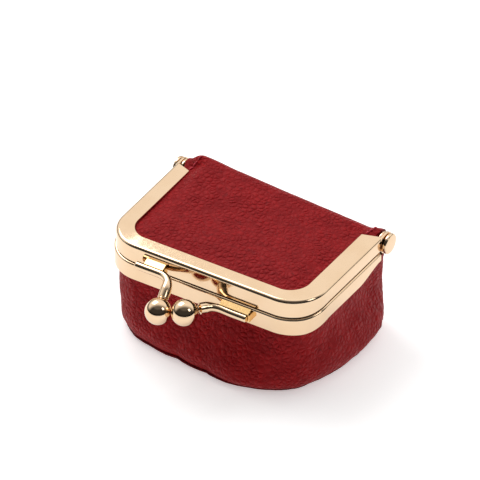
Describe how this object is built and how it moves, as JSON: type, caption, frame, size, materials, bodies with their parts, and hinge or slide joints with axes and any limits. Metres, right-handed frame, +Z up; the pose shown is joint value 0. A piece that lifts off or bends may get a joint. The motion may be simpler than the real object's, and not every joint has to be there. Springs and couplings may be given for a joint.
{
  "type": "coin purse",
  "caption": "Small box-shaped leather coin purse with a hinged lid, a two-part metal frame riveted at the back and a ball kiss-lock clasp.",
  "frame": {"origin": "centre of the flat base, on the surface the purse rests on", "axes": "+X to the purse's right along its width, +Y to the back where the lid is hinged, +Z up"},
  "size_m": [0.0844, 0.0738, 0.0405],
  "materials": {
    "gold": "polished light gold plating",
    "leather": "pebbled, satin",
    "lining": "woven, matt",
    "board": "uncoated, matt",
    "paper_cord": "twisted kraft paper, matt",
    "thread": "polyester thread"
  },
  "bodies": {
    "purse_body": {"lower_frame": "gold", "lower_paper_cord": "paper_cord", "front_side_leather": "leather", "back_leather": "leather", "base_leather": "leather", "base_seam_welt": "leather", "base_board": "board", "base_lining": "lining", "body_lining": "lining", "back_lining": "lining", "hinge_fold_leather": "leather", "back_seam_left": "thread", "back_seam_right": "thread", "hinge_rivet_left": "gold", "hinge_rivet_right": "gold", "lower_clasp_foot": "gold"},
    "lid": {"upper_frame": "gold", "upper_paper_cord": "paper_cord", "lid_leather": "leather", "lid_board": "board", "lid_lining": "lining", "lid_stitch_left_front": "thread", "lid_stitch_left_rear": "thread", "lid_stitch_right_front": "thread", "lid_stitch_right_rear": "thread", "upper_clasp_foot": "gold"},
    "upper_clasp": {"upper_clasp_stem": "gold", "upper_clasp_ball": "gold"},
    "lower_clasp": {"lower_clasp_stem": "gold", "lower_clasp_ball": "gold"}
  },
  "joints": [
    {"name": "lid_hinge", "type": "hinge", "parent": "purse_body", "child": "lid", "pos_m": [0, 0.0257, 0.034], "axis": [-1, 0, 0], "range_deg": [0, 100], "deforming": ["hinge_fold_leather"]},
    {"name": "upper_clasp_flex", "type": "hinge", "parent": "lid", "child": "upper_clasp", "pos_m": [-0.0202, -0.0275, 0.0329], "axis": [0, 1, 0], "range_deg": [0, 4], "stiffness_Nm_per_rad": 0.6},
    {"name": "lower_clasp_flex", "type": "hinge", "parent": "purse_body", "child": "lower_clasp", "pos_m": [0.0184, -0.0281, 0.0283], "axis": [0, 0, 1], "range_deg": [0, 3], "stiffness_Nm_per_rad": 0.6}
  ]
}
